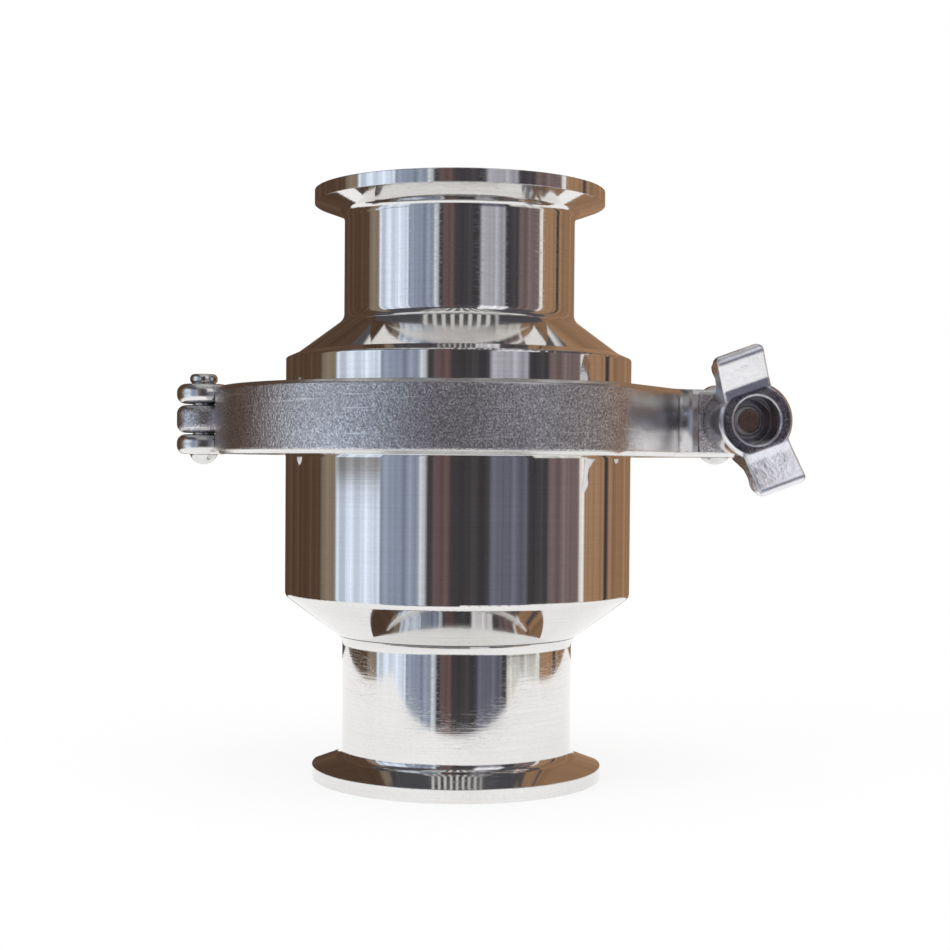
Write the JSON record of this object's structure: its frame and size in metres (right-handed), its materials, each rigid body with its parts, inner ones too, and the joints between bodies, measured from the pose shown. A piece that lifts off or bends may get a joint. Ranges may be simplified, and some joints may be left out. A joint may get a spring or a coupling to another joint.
{
  "type": "sanitary non-return valve",
  "caption": "In-line sanitary non-return valve: ferrule ends, body in two halves joined by a hinged clamp with a swing bolt and wing nut, spring-loaded plug inside.",
  "frame": {"origin": "centre of the inlet bore in the inlet face", "axes": "+Z along the flow from the inlet to the outlet, +X from the clamp's hinge towards its swing bolt, -Y the side that the wing nut faces"},
  "size_m": [0.1338, 0.1068, 0.1291],
  "materials": {
    "polished_steel": "mirror-polished stainless steel with fine turned lines",
    "satin_steel": "satin blasted stainless steel with polished edges",
    "cast_steel": "tumbled and polished stainless casting",
    "turned_steel": "turned stainless steel",
    "spring_steel": "drawn stainless wire",
    "white_rubber": "white food-grade rubber",
    "white_ptfe": "matte white fluoropolymer"
  },
  "bodies": {
    "valve": {"inlet_body": "polished_steel", "inlet_ferrule": "polished_steel", "outlet_body": "polished_steel", "outlet_ferrule": "polished_steel", "body_gasket": "white_rubber", "guide_disc": "turned_steel", "guide_bush": "white_ptfe", "spring": "spring_steel", "clamp_rear_half": "satin_steel", "hinge_rivet": "cast_steel", "bolt_rivet": "cast_steel"},
    "plug": {"valve_plug": "turned_steel", "plug_stem": "turned_steel", "plug_seal": "white_rubber", "seal_retainer": "turned_steel", "retainer_screw": "turned_steel", "stem_clip": "spring_steel"},
    "clamp_front": {"clamp_front_half": "satin_steel"},
    "bolt": {"swing_bolt": "turned_steel"},
    "nut": {"wing_nut": "cast_steel"}
  },
  "joints": [
    {"name": "plug_lift", "type": "slide", "parent": "valve", "child": "plug", "axis": [0, 0, 1], "range_m": [0, 0.009], "stiffness_N_per_m": 1500, "springref_m": -0.012, "deforming": ["spring"]},
    {"name": "clamp_open", "type": "hinge", "parent": "valve", "child": "clamp_front", "pos_m": [-0.0565, 0, 0.0784], "axis": [0, 0, -1], "range_deg": [0, 4]},
    {"name": "bolt_swing", "type": "hinge", "parent": "valve", "child": "bolt", "pos_m": [0.057, 0, 0.0784], "axis": [0, 0, 1], "range_deg": [0, 100]},
    {"name": "nut_travel", "type": "slide", "parent": "bolt", "child": "nut", "axis": [0.165, -0.9863, 0], "range_m": [0, 0.0085]}
  ],
  "couplings": [
    {"joint": "nut_travel", "follows": "clamp_open", "m_per_rad": 0.1203}
  ]
}
